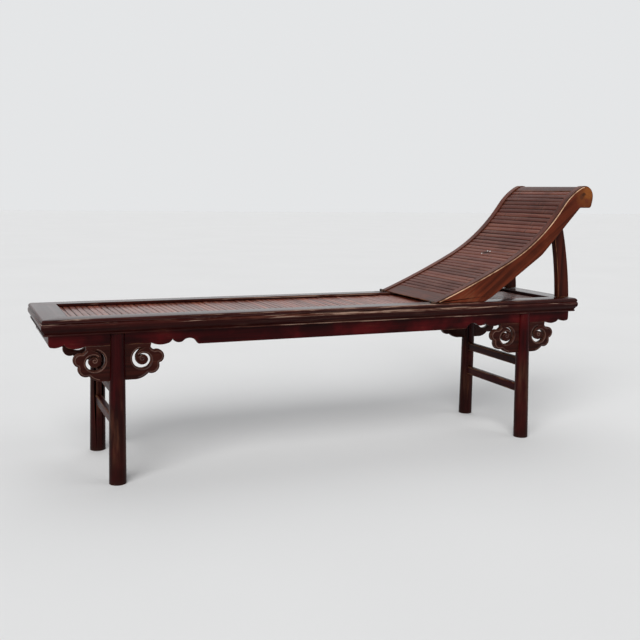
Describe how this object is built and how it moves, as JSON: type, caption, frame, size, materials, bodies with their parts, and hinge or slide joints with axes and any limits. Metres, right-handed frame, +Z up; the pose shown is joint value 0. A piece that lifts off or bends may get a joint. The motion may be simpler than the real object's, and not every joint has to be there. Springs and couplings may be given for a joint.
{
  "type": "folding daybed recliner",
  "caption": "Long lacquered hardwood daybed with bamboo slat seat, carved skirt, round splayed legs and an S-curved backrest that folds forward with its prop.",
  "frame": {"origin": "on the floor, under the middle of the overall box", "axes": "+X along the bed towards the head end with the backrest, +Y to the rear side, +Z up"},
  "size_m": [1.8294, 0.4008, 0.8647],
  "materials": {
    "rail_wood": "glossy lacquer, worn edges",
    "leg_wood": "glossy oxblood lacquer",
    "back_wood": "glossy lacquer",
    "prop_wood": "satin lacquer",
    "plain_wood": "oiled",
    "seat_bamboo": "polished bamboo",
    "back_bamboo": "polished bamboo",
    "iron": "dark, aged",
    "nail": "worn bright"
  },
  "bodies": {
    "bed": {"front_rail": "rail_wood", "rear_rail": "rail_wood", "foot_end_rail": "rail_wood", "head_end_rail": "rail_wood", "seat_slats": "seat_bamboo", "seat_batten": "plain_wood", "foot_seat_brace": "plain_wood", "middle_seat_brace": "plain_wood", "head_seat_brace": "plain_wood", "front_apron": "leg_wood", "front_foot_spandrel": "leg_wood", "front_foot_leg": "leg_wood", "front_head_spandrel": "leg_wood", "front_head_leg": "leg_wood", "front_hinge_bed_leaf": "iron", "front_hinge_pin": "iron", "rear_apron": "leg_wood", "rear_foot_spandrel": "leg_wood", "rear_foot_leg": "leg_wood", "rear_head_spandrel": "leg_wood", "rear_head_leg": "leg_wood", "rear_hinge_bed_leaf": "iron", "rear_hinge_pin": "iron", "foot_end_apron": "leg_wood", "foot_lower_stretcher": "leg_wood", "foot_upper_stretcher": "leg_wood", "head_end_apron": "leg_wood", "head_lower_stretcher": "leg_wood", "head_upper_stretcher": "leg_wood"},
    "backrest": {"front_stile": "back_wood", "front_hinge_back_leaf": "iron", "front_pivot_pin": "prop_wood", "rear_stile": "back_wood", "rear_hinge_back_leaf": "iron", "rear_pivot_pin": "prop_wood", "back_slats": "back_bamboo", "repair_nails": "nail", "back_bottom_board": "back_wood", "back_lower_rail": "back_wood", "back_middle_rail": "back_wood", "crest_roll": "back_wood"},
    "prop": {"front_prop_post": "prop_wood", "rear_prop_post": "prop_wood", "prop_rail": "prop_wood"}
  },
  "joints": [
    {"name": "back_fold", "type": "hinge", "parent": "bed", "child": "backrest", "pos_m": [0.29829, 0, 0.4842], "axis": [0, -1, 0], "range_deg": [0, 146]},
    {"name": "prop_fold", "type": "hinge", "parent": "backrest", "child": "prop", "pos_m": [0.79084, 0, 0.74091], "axis": [0, 1, 0], "range_deg": [0, 55]}
  ],
  "couplings": [
    {"joint": "prop_fold", "follows": "back_fold", "ratio": 0.3767}
  ]
}
